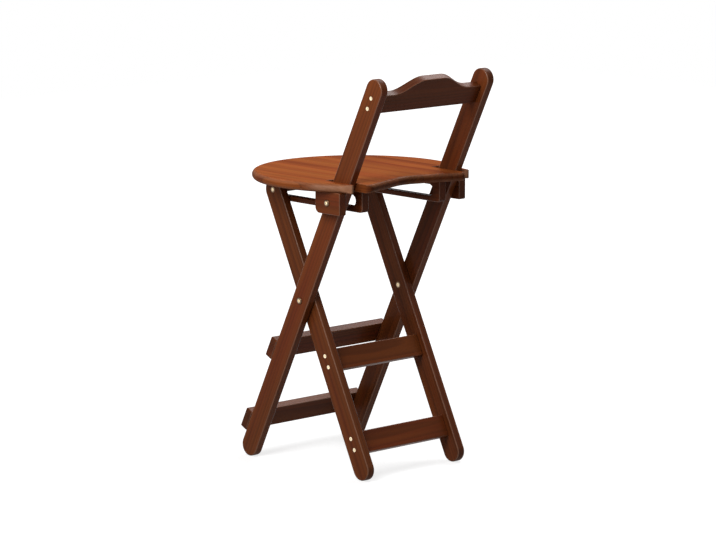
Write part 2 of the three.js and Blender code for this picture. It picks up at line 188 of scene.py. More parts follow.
class FinishSettings(PropertyGroup):
    """Colours and gloss of the wood and the plating."""

    frame_light: colour("Frame", (0.150, 0.040, 0.010), "Stain of the frame between the rings")
    frame_dark: colour("Frame rings", (0.068, 0.018, 0.006), "Stain of the frame in the rings")
    frame_red: colour("Frame streaks", (0.135, 0.026, 0.008), "Stain of the frame in red streaks")
    seat_light: colour("Seat", (0.328, 0.091, 0.021), "Stain of the seat between the rings")
    seat_dark: colour("Seat rings", (0.12, 0.026, 0.008), "Stain of the seat in the rings")
    seat_red: colour("Seat streaks", (0.25, 0.050, 0.013), "Stain of the seat in red streaks")
    # The worn-edge colour is partly bare wood on worn edges and partly a painted highlight along the rounded
    # edges.
    worn: colour("Worn edge", (0.42, 0.22, 0.13), "Wood that shows on worn edges")
    ring: length("Ring width", 0.0058, "Distance between two rings of the wood")
    frame_gloss: share("Frame roughness", 0.42, "Roughness of the frame's lacquer")
    seat_gloss: share("Seat roughness", 0.68, "Roughness of the seat's lacquer")
    bright: colour("Plating", (0.95, 0.80, 0.55), "Colour of clean plating")
    # The dull colour is partly tarnish and partly painted shade in recesses and round rims.
    dull_and_shaded: colour("Dull plating", (0.11, 0.06, 0.033), "Colour of the plating in its recesses")


class StageSettings(PropertyGroup):
    """The camera, lights and floor."""

    camera_at: FloatVectorProperty(
        name="Camera", description="Where the camera stands", default=(4.979, 5.445, 1.719),
        size=3, subtype="TRANSLATION", unit="LENGTH",
    )
    azimuth: angle("Azimuth", 137.619, "Direction that the camera looks from, round the stool")
    elevation: angle("Elevation", 9.867, "Height of the camera above the horizon")
    lens: number("Lens", 167.09, "Focal length in millimetres")
    key: number("Key light", 25, "Power of the key light")
    top: number("Top light", 71, "Power of the top light")
    strip: number("Strip light", 12, "Power of the strip light")
    sky: number("Sky", 0.26, "Strength of the even light")
    floor_size: length("Floor", 12, "Width of the floor")


SETTINGS = {
    "stool_boards": BoardSettings,
    "stool_seat": SeatSettings,
    "stool_fixings": FixingSettings,
    "stool_finish": FinishSettings,
    "stool_stage": StageSettings,
}


def setting(group):
    """The settings of one group, such as "boards"."""
    return getattr(bpy.context.scene, f"stool_{group}")


def unit(vectors):
    """The same directions, at length 1."""
    return vectors / np.linalg.norm(vectors, axis=-1, keepdims=True)


def points_of(mesh):
    """The mesh's points, as one array."""
    points = np.empty(len(mesh.vertices) * 3, np.float32)
    mesh.vertices.foreach_get("co", points)
    return points.reshape(-1, 3).astype(float)


class Place:
    """Axes at a point: X across the stool, and two more that lean back by an angle."""

    def __init__(self, origin, lean):
        cos, sin = math.cos(lean), math.sin(lean)
        self.origin = np.array(origin, float)
        self.axes = np.array([[1, 0, 0], [0, cos, -sin], [0, sin, cos]])

    def world(self, points):
        """Points given along these axes, as points of the frame."""
        return points @ self.axes + self.origin

    def local(self, points):
        """Points of the frame, as lengths along these axes."""
        return (points - self.origin) @ self.axes.T

    def box(self, node):
        """Lowest and highest corner of a frame node, along these axes."""
        points = self.local(points_of(frame["nodes"][node].data))
        return points.min(0), points.max(0)


JOINT_AT = {joint["name"]: np.array(joint["pos_m"]) for joint in frame["joints"]}
REACH = JOINT_AT["seat_tilt"] - JOINT_AT["fold"]
LEAN = math.atan2(REACH[ACROSS], REACH[UP])
PLACES = {
    "outer_frame": Place(JOINT_AT["fold"], LEAN),
    "inner_frame": Place(JOINT_AT["fold"], -LEAN),
    "seat": Place(JOINT_AT["seat_tilt"], 0),
}


def box_of(node, place=None):
    """A node's box along the axes of its own body, or of another place."""
    return (place or PLACES[BODIES[node]]).box(node)


def circle(steps):
    """The angles of so many steps round a circle."""
    return np.linspace(0, 2 * math.pi, steps, endpoint=False)


def bend(centre, radius, start, end, steps, hollow=False):
    """Arc of an outline: centre + radius * (cos a, sin a), with the angle a from start to end.

    It gives points and outward directions, which point to the centre where the arc is hollow."""
    turn = np.linspace(start, end, steps + 1)
    out = np.stack([np.cos(turn), np.sin(turn)], -1)
    return np.array(centre) + radius * out, -out if hollow else out


def corner(before, at, after, radius, steps):
    """The arc that rounds the corner at a point of an anticlockwise outline.

    Its centre lies on the corner's bisector, radius / sin(half the angle) from the corner."""
    before, at, after = np.array([before, at, after])
    back, ahead = unit(before - at), unit(after - at)
    half = math.acos(back @ ahead) / 2
    centre = at + unit(back + ahead) * radius / math.sin(half)
    first = at + back * radius / math.tan(half) - centre
    last = at + ahead * radius / math.tan(half) - centre
    turn = first[0] * last[1] - first[1] * last[0]
    start = math.atan2(first[1], first[0])
    sweep = math.atan2(turn, first @ last)
    return bend(centre, radius, start, start + sweep, steps, hollow=turn < 0)


def outline(*stretches):
    """One closed outline from its arcs, which straight lines join."""
    points = np.concatenate([points for points, _ in stretches])
    return points, np.concatenate([out for _, out in stretches])


def mirrored(points, out):
    """The same stretch of an outline on the other side of the stool."""
    return points[::-1] * [-1, 1], out[::-1] * [-1, 1]


def rectangle(low, high, radii, steps=8):
    """Rectangle with four rounded corners, from the lower left one round to the upper left."""
    at = [(low[0], low[1]), (high[0], low[1]), (high[0], high[1]), (low[0], high[1])]
    return outline(*(
        corner(at[i - 1], at[i], at[(i + 1) % 4], radii[i], steps) for i in range(4)
    ))


def filled(points, out, step):
    """The outline with more points on its straight stretches, a step apart at most."""
    ahead = np.roll(points, -1, axis=0)
    gaps = np.linalg.norm(ahead - points, axis=1)
    counts = np.maximum(1, np.ceil(gaps / step)).astype(int)
    start = np.repeat(np.arange(len(points)), counts)
    part = np.concatenate([np.arange(count) / count for count in counts])
    end = (start + 1) % len(points)
    more = points[start] + (points[end] - points[start]) * part[:, None]
    ways = out[start] + (out[end] - out[start]) * part[:, None]
    return more, unit(ways)


def skin(rings, flip=False):
    """Closed surface from rings of points: four-sided faces between them and a flat face at
    each end. It is turned inside out where the axes that drew it are mirrored."""
    index = np.arange(rings[..., 0].size).reshape(rings.shape[:2])
    ahead = np.roll(index, -1, axis=1)
    quads = np.stack([index[:-1], ahead[:-1], ahead[1:], index[1:]], -1).reshape(-1, 4)
    faces = quads.tolist() + [index[0, ::-1].tolist(), index[-1].tolist()]
    if flip:
        faces = [face[::-1] for face in faces]
    return rings.reshape(-1, 3), faces


def rounding(edge, turn):
    """A rounded edge at some angles: how far in from the side it is, edge * (1 - sin v), and
    how far in from the face, edge * (1 - cos v)."""
    return edge * (1 - np.sin(turn)), edge * (1 - np.cos(turn))


def plate(drawn, edges, span, edge, grain, steps=6):
    """Rounded plate as a surface of two parameters: u runs round its outline and v over it.

    v turns from 0 to a quarter over the low edge, and back over the high one. A point is the
    outline's point moved in by the rounding of the edge. drawn names the axes of the outline
    and of the thickness, and grain the one that the wood's grain follows. It also gives how
    far each point is on the plate's side, sin v, on an edge's rounding, sin 2v, where wear and a
    painted highlight go, and on end grain, and the axes along the grain, across it and through
    the plate."""
    points, out = edges
    turn = np.linspace(0, QUARTER, steps + 1)
    high = np.repeat([False, True], len(turn))[:, None]
    turn = np.concatenate([turn, turn[::-1]])[:, None]
    inward, rise = rounding(np.broadcast_to(edge, len(points)), turn)
    rings = np.empty((len(turn), len(points), 3))
    rings[..., list(drawn[:2])] = points - out * inward[..., None]
    rings[..., drawn[2]] = np.where(high, span[1] - rise, span[0] + rise)
    marks = {
        "side": np.broadcast_to(np.sin(turn), rings.shape[:2]).ravel(),
        "worn": np.broadcast_to(np.sin(2 * turn), rings.shape[:2]).ravel(),
        "end_grain": np.abs(out[:, drawn.index(grain)] * np.sin(turn)).ravel(),
    }
    across = drawn[1 - drawn.index(grain)]
    left_handed = np.linalg.det(np.eye(3)[list(drawn)]) < 0
    return *skin(rings, left_handed), marks, (grain, across, drawn[2])


def slab(node, drawn, radii, edge, grain, steps=8):
    """A plate with a rectangle for its outline, as large as its node."""
    low, high = box_of(node)
    sides = list(drawn[:2])
    edges = rectangle(low[sides], high[sides], radii, steps)
    return plate(drawn, edges, (low[drawn[2]], high[drawn[2]]), edge, grain)


def spun(start, axis, sign, radius, depth):
    """Spun surface of two parameters: the turn round an axis, and the way along its profile.

    radius and depth hold one row for each step of the profile and one column for each step of
    the turn. A point is start + depth along the axis + radius * (cos, sin) across it."""
    radius, depth = np.broadcast_arrays(radius, depth)
    turn = circle(radius.shape[1])
    second, third = (axis + 1) % 3, (axis + 2) % 3
    rings = np.empty(radius.shape + (3,))
    rings[..., axis] = start[axis] + sign * depth
    rings[..., second] = start[second] + radius * np.cos(turn)
    rings[..., third] = start[third] + radius * np.sin(turn)
    return skin(rings, sign < 0)


def lathe(start, axis, sign, pairs, steps):
    """Spun surface from a plain profile of (radius, depth) pairs."""
    radius, depth = np.array(pairs, float).T[..., None]
    return spun(start, axis, sign, np.repeat(radius, steps, 1), depth)


def mesh_of(name, place, parts):
    """One mesh from several surfaces, given as vertices along the axes of a place, and faces."""
    vertices, faces, first = [], [], 0
    for part_vertices, part_faces in parts:
        vertices.append(place.world(part_vertices))
        faces.extend([first + i for i in face] for face in part_faces)
        first += len(part_vertices)
    mesh = bpy.data.meshes.new(name)
    mesh.from_pydata(np.concatenate(vertices), [], faces)
    return mesh


def linked(name, mesh):
    """An object for a mesh, at the origin."""
    piece = bpy.data.objects.new(name, mesh)
    bpy.context.scene.collection.objects.link(piece)
    return piece


def set_attribute(mesh, name, kind, values):
    """Writes one value for each vertex into an attribute of the mesh."""
    attribute = mesh.attributes.new(name, kind, "POINT")
    field = "vector" if kind == "FLOAT_VECTOR" else "value"
    attribute.data.foreach_set(field, np.asarray(values, np.float32).ravel())


def applied(piece):
    """Writes the piece's modifiers into its mesh."""
    graph = bpy.context.evaluated_depsgraph_get()
    mesh = bpy.data.meshes.new_from_object(
        piece.evaluated_get(graph), preserve_all_data_layers=True, depsgraph=graph
    )
    piece.modifiers.clear()
    piece.data = mesh


def smoothed(piece, sharp_degrees):
    """Smooth shading that keeps large flat faces flat and sharp edges sharp."""
    piece.data.shade_smooth()
    piece.data.set_sharp_from_angle(angle=math.radians(sharp_degrees))
    weighted = piece.modifiers.new("weighted normals", "WEIGHTED_NORMAL")
    weighted.keep_sharp = True
    applied(piece)


def carved(piece, place, cutters):
    """Cuts bores and slots, given as surfaces, out of the piece."""
    tool = linked("cutter", mesh_of("cutter", place, cutters))
    holes = piece.modifiers.new("holes", "BOOLEAN")
    holes.operation = "DIFFERENCE"
    holes.solver = "EXACT"
    holes.object = tool
    applied(piece)
    bpy.data.objects.remove(tool)


def dressed(piece, node, slot):
    """Ties a finished piece to its body, its frame node and its finish."""
    body = BODIES[node]
    piece.data.materials.append(finish(slot))
    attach(piece, body)
    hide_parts(node)


def lumber(node):
    """Random numbers for one board, the same in each run: where its pith lies, where along
    the trunk it was cut, and how dark it took the stain."""
    chance = np.random.default_rng([ord(letter) for letter in node])
    pith_across = chance.uniform(-0.03, 0.03)
    pith_depth = chance.uniform(0.03, 0.055) * chance.choice([-1, 1])
    return np.array([chance.uniform(0, 9), pith_across, pith_depth]), chance.uniform(-1, 1)


def kept_points(before, after):
    """For each point of a cut mesh, which point of the whole mesh it is, or -1 for a new one."""
    spots = np.round(np.concatenate([before, after]), 6)
    spot = np.unique(spots, axis=0, return_inverse=True)[1].ravel()
    which = np.full(spot.max() + 1, -1)
    which[spot[:len(before)]] = np.arange(len(before))
    return which[spot[len(before):]]


def board(node, surface, cutters, slot="frame_wood"):
    """A finished board: its surface, its bores, and the attributes that its finish reads.

    The points that a bore adds lie either on a flat face or on the board's side."""
    place = PLACES[BODIES[node]]
    vertices, faces, marks, order = surface
    piece = linked(f"stained_{node}", mesh_of(node, place, [(vertices, faces)]))
    whole = points_of(piece.data)
    carved(piece, place, cutters)
    smoothed(piece, BOARD_SHARP)
    mesh = piece.data
    points = points_of(mesh)
    kept = kept_points(whole, points)
    wood = place.local(points)[:, list(order)]
    low, high = wood.min(0), wood.max(0)
    on_side = np.minimum(wood - low, high - wood)[:, 2] > ROUND_OFF
    for name, values in marks.items():
        added = on_side if name == "side" else 0
        set_attribute(mesh, name, "FLOAT", np.where(kept < 0, added, values[kept]))
    shift, tone = lumber(node)
    set_attribute(mesh, "grain", "FLOAT_VECTOR", wood - (low + high) / 2 + shift)
    set_attribute(mesh, "tone", "FLOAT", np.full(len(points), tone))
    dressed(piece, node, slot)


def head_of(node, axis, sign, place=None):
    """Where a fixing starts, the middle of its head's face, and its length."""
    low, high = box_of(node, place)
    start = (low + high) / 2
    start[axis] = low[axis] if sign > 0 else high[axis]
    return start, high[axis] - low[axis]


def screws(*rows, sides=SIDES):
    """The wood screws of some rows: each one's node, its axis, and its way along that axis."""
    for side in sides:
        for row in rows:
            axis, ends = SCREW_ROWS[row]
            for end in ends:
                yield f"{row}_screw_{side}_{end}", axis, -SIDES[side] if axis == X else 1


def sunk_hole(kind, steps, node, axis, sign, under=None):
    """Cutter for a flush screw of some kind, with a slight chamfer at its mouth. Where under is
    given, the head is sunk from that height in a wider bore."""
    size = setting("fixings")
    fit, rim = size.fit, size.screw_rim
    head, shank, cone = (getattr(size, f"{kind}_{part}") for part in ("head", "radius", "cone"))
    start, reach = head_of(node, axis, sign)
    deep = 0 if under is None else start[axis] - under
    clear = deep + 2 * head
    head, shank = head + fit, shank + fit
    mouth = size.deep_bore if deep else head
    pairs = [(mouth + 2 * fit, -clear), (mouth + 2 * fit, -deep - fit), (mouth, fit - deep)]
    if deep:
        pairs += [(mouth, 0), (head, fit)]
    pairs += [(head, rim), (shank, rim + cone), (shank, reach + fit)]
    return lathe(start, axis, sign, pairs, steps)


def screw_holes(*rows, sides=SIDES, under=None):
    """Cutters for the wood screws of some rows."""
    found = screws(*rows, sides=sides)
    return [sunk_hole("screw", SCREW_HOLE_AROUND, *screw, under) for screw in found]


def rod_screw_hole(side):
    """Cutter for a rod screw."""
    return sunk_hole("rod_screw", HOLE_AROUND, f"rod_screw_{side}", X, -SIDES[side])


def stepped_hole(start, sign, steps):
    """Cutter for a bore along X of several radii, given as (radius, depth) where each ends."""
    fit = setting("fixings").fit
    depth, pairs = -steps[0][0] - fit, []
    for radius, end in steps:
        pairs += [(radius + fit, depth), (radius + fit, end)]
        depth = end
    return lathe(start, X, sign, pairs, HOLE_AROUND)


def nut_hole(node, sign, leg):
    """Cutter for a sleeve nut sunk in a leg, and for the bolt that runs on through it."""
    size = setting("fixings")
    start, reach = head_of(node, X, sign)
    return stepped_hole(start, sign, [
        (size.bolt_head, size.flange + size.fit), (size.sleeve, reach + size.fit),
        (size.bolt_radius, head_of(leg, X, sign)[1] + size.bolt_head),
    ])


def bolt_hole(node, sign, through):
    """Cutter for a bolt's shank through a board, from that board's near face on."""
    size = setting("fixings")
    start = head_of(node, X, sign, PLACES[BODIES[through]])[0]
    face, thick = head_of(through, X, sign)
    start[X] = face[X]
    return stepped_hole(start, sign, [(size.bolt_radius, thick + size.bolt_head)])


def worked(operation):
    """A method that adds the Math node for a value alone, or for a value and another."""
    return lambda self, *others: self.math(operation, self, *others)


class Value:
    """An output socket. Sums and products of values add the Math nodes that work them out."""

    def __init__(self, make, socket):
        self.make, self.socket = make, socket

    def math(self, operation, *values):
        return self.make.node("Math", dict(enumerate(values)), operation=operation)

    def __rsub__(self, other):
        return self.math("SUBTRACT", other, self)

    __add__ = __radd__ = worked("ADD")
    __sub__ = worked("SUBTRACT")
    __mul__ = __rmul__ = worked("MULTIPLY")
    __truediv__ = worked("DIVIDE")
    __pow__ = worked("POWER")
    floor, fraction, distance = worked("FLOOR"), worked("FRACT"), worked("ABSOLUTE")
    smaller, larger = worked("MINIMUM"), worked("MAXIMUM")


class Finish:
    """The node tree of a material or a world in the making."""

    def __init__(self, owner):
        owner.use_nodes = True
        self.tree = owner.node_tree
        self.tree.nodes.clear()

    def node(self, kind, inputs=None, output=0, **settings):
        """Adds a shader node: its settings first, then its sockets. It gives one output, or
        several where output names several."""
        added = self.tree.nodes.new("ShaderNode" + kind)
        for name, value in settings.items():
            setattr(added, name, value)
        for name, value in (inputs or {}).items():
            if isinstance(value, Value):
                self.tree.links.new(value.socket, added.inputs[name])
            else:
                added.inputs[name].default_value = value
        if isinstance(output, tuple):
            return [Value(self, added.outputs[name]) for name in output]
        return Value(self, added.outputs[output]) if added.outputs else None

    def ramp(self, value, stops):
        """Grey levels that follow a value, from stops of (value, level)."""
        band = self.node("ValToRGB", {0: value})
        elements = band.socket.node.color_ramp.elements
        while len(elements) < len(stops):
            elements.new(1)
        for element, (position, level) in zip(elements, stops):
            element.position, element.color = position, (level, level, level, 1)
        return band

    def attribute(self, name, output):
        return self.node("Attribute", None, output, attribute_name=name)

    def split(self, vector):
        return self.node("SeparateXYZ", {0: vector}, (0, 1, 2))

    def noise(self, along, across, through, detail=2.0, roughness=0.5):
        """Noise from -1 to 1 at a point, from its three coordinates in noise cells."""
        at = self.node("CombineXYZ", {0: along, 1: across, 2: through})
        cells = {"Vector": at, "Scale": 1.0, "Detail": detail, "Roughness": roughness}
        return self.node("TexNoise", cells) * 2 - 1

    def mix(self, factor, first, second):
        """A colour between two others."""
        first, second = ((*c, 1) if isinstance(c, tuple) else c for c in (first, second))
        inputs = {0: factor, 6: first, 7: second}
        return self.node("Mix", inputs, 2, data_type="RGBA", clamp_factor=True)

    def shade(self, tint, value):
        """A colour made lighter or darker."""
        return self.node("VectorMath", {0: tint, "Scale": value}, operation="SCALE")

    def surface(self, inputs, bump, strength, distance):
        """The material's one surface shader, with its bump."""
        lift = {"Height": bump, "Strength": strength, "Distance": distance}
        inputs["Normal"] = self.node("Bump", lift)
        self.node("OutputMaterial", {"Surface": self.node("BsdfPrincipled", inputs)})


def shows(make):
    """1 for the rays of the camera and of mirrors and glass, which see the white ground."""
    rays = "Is Camera Ray", "Is Glossy Ray", "Is Transmission Ray"
    camera, glossy, through = make.node("LightPath", None, rays)
    return camera.larger(glossy.larger(through))


def stained_wood(name, colours, gloss, level, coat, contrast, wear_and_highlight, stave=0.0):
    """Softwood under stain and satin lacquer.

    The rings are cylinders round the pith: a point's ring is its distance from the pith over
    the ring width. Slow noise bends them, so that a flat-sawn face shows arches and a narrow
    one shows lines. Fibres and streaks are noise drawn out along the grain. Staves are strips
    of their own wood, glued side by side. colours are the light wood, the rings and the red
    streaks. coat is the lacquer's weight on faces, and how much sides and worn edges add.
    contrast is the strength of the rings, and the setting after it how far the rounded edges are
    lightened: partly bare wood showing on worn edges, partly a painted highlight."""
    look = setting("finish")
    light, dark, red = (tuple(value) for value in colours)
    make = Finish(bpy.data.materials.new(name))
    along, across, through = make.split(make.attribute("grain", "Vector"))
    marks = "tone", "worn", "side", "end_grain"
    tone, worn, side, end_grain = (make.attribute(mark, "Fac") for mark in marks)
    joint, joint_power = 0, 70
    if stave:
        strip = (across / stave).floor()
        chance = make.node("TexWhiteNoise", {"W": strip}, noise_dimensions="1D")
        middle = across / stave - strip - 0.5
        joint = (middle.distance() * 2) ** joint_power
        tone = tone * 0.3 + (chance - 0.5) * 1.5
        along = along + chance * 7
        across = middle * stave + (chance - 0.5) * 0.07

    def grainy(lengthwise, crosswise, *detail):
        """Noise with so many cells to the metre along the grain and across it."""
        cells = along * lengthwise, across * crosswise, through * crosswise
        return make.noise(*cells, *detail)

    slow = grainy(1.6, 9)
    sway = grainy(7, 45)
    away = (across * across + through * through) ** 0.5 + slow * 0.007 + sway * 0.0008
    ring = (away / look.ring + make.noise(away * 60, 0, 0, 1) * 0.8).fraction()
    band = make.ramp(ring, [(0.0, 0.15), (0.4, 0.3), (0.8, 1.0), (0.92, 0.85), (1.0, 0.15)])
    fibre = grainy(22, 1100, 3, 0.6)
    streak = grainy(1.8, 38, 3, 0.5)
    blotch = grainy(3, 18)
    warm = grainy(1.2, 34, 2)
    depth = band * contrast + streak * 0.75 + fibre * 0.08 + end_grain * 0.3
    tint = make.mix(depth, make.mix(warm * 1.5 + 0.35, light, red), dark)
    shade = 1 + tone * 0.12 + blotch * 0.28 + fibre * 0.05 - end_grain * 0.2 - joint * 0.3
    if stave:
        # Painted shade: the seat's sides are drawn darker than its top and bottom.
        shade = shade - side * 0.35
    # Painted highlight and wear: the roundings of edges are drawn lighter, towards the worn-edge colour.
    rub_and_highlight = worn ** 2 * wear_and_highlight * (1 + 0.6 * grainy(30, 90, 3))
    make.surface({
        "Base Color": make.mix(rub_and_highlight, make.shade(tint, shade), tuple(look.worn)),
        "Roughness": gloss + 0.06 * streak + 0.04 * fibre + 0.2 * end_grain,
        "IOR": 1.42, "Specular IOR Level": level, "Coat Roughness": 0.22,
        "Coat Weight": coat[0] + coat[1] * side + coat[2] * worn,
    }, fibre * 0.4 + band * 0.5 + sway * 0.3 - joint, 0.12, 0.0002)


def plating(name):
    """Pale brass plating: bright on crowns, partly polish and partly a painted highlight, and dull
    in recesses and round the rim, partly tarnish and partly painted shade.
    """
    look = setting("finish")
    make = Finish(bpy.data.materials.new(name))
    at = make.split(make.node("TexCoord", None, "Object"))
    clean = make.attribute("clean", "Fac")
    smut = make.noise(*(way * 900 for way in at), 3, 0.6)
    fine = make.noise(*(way * 4200 for way in at), 2)
    make.surface({
        "Base Color": make.mix(clean + smut * 0.25, tuple(look.dull_and_shaded), tuple(look.bright)),
        "Metallic": 1.0, "Roughness": 0.3 + smut * 0.08 - clean * 0.06,
    }, fine, 0.1, 0.00005)


def finish(slot):
    """The material of a slot. All of them are made when the first is asked for."""
    made = bpy.data.materials
    if FINISHES[slot] not in made:
        look = setting("finish")
        stained_wood(
            FINISHES["frame_wood"], (look.frame_light, look.frame_dark, look.frame_red),
            look.frame_gloss, level=0.05, coat=(0.03, 0.03, 0.35), contrast=0.55, wear_and_highlight=0.25,
        )
        stained_wood(
            FINISHES["seat_wood"], (look.seat_light, look.seat_dark, look.seat_red),
            look.seat_gloss, level=0.0, coat=(0.03, 0.02, 0.05), contrast=0.45, wear_and_highlight=0.48,
            stave=setting("seat").stave,
        )
        plating(FINISHES["fixings"])
    return made[FINISHES[slot]]


def leg(node, cutters):
    """A leg: a long plate with two round ends, of half the leg's width."""
    low, high = box_of(node)
    radii = [(high[ACROSS] - low[ACROSS]) / 2 * ALMOST_ROUND] * 4
    surface = slab(node, (ACROSS, UP, X), radii, setting("boards").leg_edge, UP, 20)
    board(node, surface, cutters)


class STOOL_OT_outer_legs(Operator):
    """The two long legs, from the front feet to the top of the back"""

    bl_idname = "stool.outer_legs"
    bl_label = "Outer Legs"

    def execute(self, context):
        rows = "back_rail", "front_rung_upper", "front_rung_lower"
        for side, sign in SIDES.items():
            node = f"outer_leg_{side}"
            leg(node, [
                *screw_holes(*rows, sides=[side]), bolt_hole(f"pivot_bolt_{side}", -sign, node),
                nut_hole(f"seat_bolt_nut_{side}", sign, node),
            ])
        return {"FINISHED"}


class STOOL_OT_inner_legs(Operator):
    """The two short legs, from the rear feet to the cross rod"""

    bl_idname = "stool.inner_legs"
    bl_label = "Inner Legs"

    def execute(self, context):
        for side, sign in SIDES.items():
            node = f"inner_leg_{side}"
            leg(node, [
                *screw_holes("rear_rung_upper", "rear_rung_lower", sides=[side]),
                nut_hole(f"pivot_nut_{side}", sign, node), rod_screw_hole(side),
            ])
        return {"FINISHED"}


class STOOL_OT_rungs(Operator):
    """The two front rungs and the two rear rungs"""

    bl_idname = "stool.rungs"
    bl_label = "Rungs"

    def execute(self, context):
        size = setting("boards")
        radii = [size.board_corner] * 4
        for level in LEVELS:
            for node in (f"front_rung_{level}", f"rear_rung_{level}"):
                surface = slab(node, (X, UP, ACROSS), radii, size.board_edge, X)
                board(node, surface, screw_holes(node))
        return {"FINISHED"}


class STOOL_OT_back_rail(Operator):
    """The back rail with its shaped crest"""

    bl_idname = "stool.back_rail"
    bl_label = "Back Rail"

    def execute(self, context):
        size = setting("boards")
        low, high = box_of("back_rail")
        half, end, under = high[X], low[UP] + size.rail_end, low[UP]
        ring = [(-half, end), (-half, under), (half, under), (half, end), (0, end)]
        down, up, right, left = (
            corner(ring[i - 1], ring[i], ring[(i + 1) % 5], size.board_corner, 8)
            for i in (1, 2, 3, 0)
        )
        crest = self.slope(end, high[UP] - end)
        edges = outline(down, up, right, crest, mirrored(*crest), left)
        surface = plate((X, UP, ACROSS), edges, (low[ACROSS], high[ACROSS]), size.board_edge, X)
        board("back_rail", surface, screw_holes("back_rail"))
        return {"FINISHED"}

    def slope(self, end, rise):
        """Half a cosine wave, from the height of the rail's end up to the crest's flat."""
        size = setting("boards")
        foot, flat = size.crest_foot, size.crest_flat
        turn = np.linspace(0, math.pi, 28)
        x = foot + (flat - foot) * turn / math.pi
        z = end + rise * (1 - np.cos(turn)) / 2
        fall = rise * math.pi * np.sin(turn) / 2 / (foot - flat)
        out = np.stack([fall, np.ones_like(fall)], -1)
        return np.stack([x, z], -1), unit(out)


class STOOL_OT_battens(Operator):
    """The slotted battens and the outer cleats under the seat"""

    bl_idname = "stool.battens"
    bl_label = "Battens and Cleats"

    def execute(self, context):
        size = setting("boards")
        small, edge = size.board_corner, size.board_edge
        for side, sign in SIDES.items():
            batten, cleat = f"slotted_batten_{side}", f"outer_cleat_{side}"
            bolt = bolt_hole(f"seat_bolt_{side}", -sign, cleat)
            for row, node, radii, hole in (
                ("batten", batten, [size.batten_corner] * 2 + [small] * 2, self.slot(batten)),
                ("cleat", cleat, [size.cleat_corner] + [small] * 3, bolt),
            ):
                surface = slab(node, (ACROSS, UP, X), radii, edge, ACROSS)
                holes = screw_holes(row, sides=[side], under=box_of(node)[0][UP])
                board(node, surface, [*holes, hole])
        return {"FINISHED"}

    def slot(self, node):
        """Cutter for a batten's slot, flared at both faces so that its edges are rounded."""
        size = setting("boards")
        low, high = box_of(node)
        half = size.slot_height / 2
        middle = (low[UP] + high[UP]) / 2
        first = np.array([low[ACROSS] + size.slot_end, middle - half])
        last = np.array([high[ACROSS] - size.slot_end, middle + half])
        points, out = rectangle(first, last, [half * ALMOST_ROUND] * 4, 12)
        flare, inside = rounding(size.board_edge, np.linspace(0, QUARTER, 7))
        flare = np.concatenate([flare[:1], flare, flare[::-1], flare[:1]])
        beyond = size.slot_height
        level = np.concatenate([
            [low[X] - beyond], low[X] + inside, high[X] - inside[::-1], [high[X] + beyond],
        ])
        rings = np.empty((len(flare), len(points), 3))
        rings[..., [ACROSS, UP]] = points + out * flare[:, None, None]
        rings[..., X] = level[:, None]
        return skin(rings)


class STOOL_OT_cross_rod(Operator):
    """The round rod between the tops of the inner legs"""

    bl_idname = "stool.cross_rod"
    bl_label = "Cross Rod"

    def execute(self, context):
        radius = head_of("cross_rod", UP, 1)[1] / 2
        start, span = head_of("cross_rod", X, 1)
        turn = np.linspace(0, QUARTER, 5)
        narrow, inside = rounding(setting("boards").board_edge / 2, turn)
        rims = np.concatenate([radius - narrow, radius - narrow[::-1]])
        depths = np.concatenate([inside, span - inside[::-1]])
        surface = lathe(start, X, 1, np.stack([rims, depths], -1), AROUND)
        flat = np.zeros(len(surface[0]))
        marks = {"side": flat, "worn": flat, "end_grain": np.repeat(rims < radius, AROUND)}
        holes = [rod_screw_hole(side) for side in SIDES]
        board("cross_rod", (*surface, marks, (X, UP, ACROSS)), holes)
        return {"FINISHED"}


def seat_outline():
    """The seat's outline and the rounding of its edge at each point.

    It runs anticlockwise: the round front, the right flank to its horn, round the notch, the
    lobe, the hollow of the grip, and back the same way on the other side. The rounding is that
    of the seat, but in the notches it is that of the notches, and it grows from one to the
    other by no more than a third of the way between them."""
    size = setting("seat")
    low, high = box_of("seat")
    leg_low, leg_high = box_of("outer_leg_left")
    radius, horn, flank = high[X], size.horn, size.flank
    centre = low[ACROSS] + radius
    inner, outer = leg_low[X] - size.notch_side, leg_high[X] + size.notch_side
    root = -(leg_high - leg_low)[ACROSS] / 2 - size.notch_front
    tangent = np.array([radius * math.cos(flank), centre + radius * math.sin(flank)])
    grip = np.array([0, centre + size.grip_depth])
    horn_x = tangent[0] - (horn - tangent[1]) * math.tan(flank)
    # corners a little wider than the rounding, so that it doesn't fold over itself
    small = size.notch_edge * 1.02
    lobe = inner, grip[1] + inner * math.tan(size.grip_slope)
    way = [tangent, (horn_x, horn), (outer, horn), (outer, root), (inner, root), lobe, grip]
    rounds = [(small, 6)] * 4 + [(size.lobe, 16)]
    right = [corner(*way[i:i + 3], *rounds[i]) for i in range(5)]
    left = [mirrored(*stretch) for stretch in right[::-1]]
    front = bend((0, centre), radius, math.pi - flank, 2 * math.pi + flank, 120)
    hollow = corner(lobe, grip, (-inner, lobe[1]), size.grip_radius, 20)
    points, out = filled(*outline(front, *right, hollow, *left), step=0.004)

    off_middle = np.abs(points[:, 0])
    in_notch = (off_middle > inner - ROUND_OFF) & (off_middle < outer + ROUND_OFF)
    in_notch |= (points[:, 1] > horn - 2 * small) & (off_middle > outer)
    in_notch &= points[:, 1] > root - small
    edge = np.where(in_notch, size.notch_edge, size.edge)
    steps = np.linalg.norm(np.roll(points, -1, axis=0) - points, axis=1)
    way = np.concatenate([[0], np.cumsum(steps)])
    gap = np.abs(way[:-1, None] - way[None, :-1])
    gap = np.minimum(gap, way[-1] - gap)
    return (points, out), (edge[None] + gap / 3).min(1)


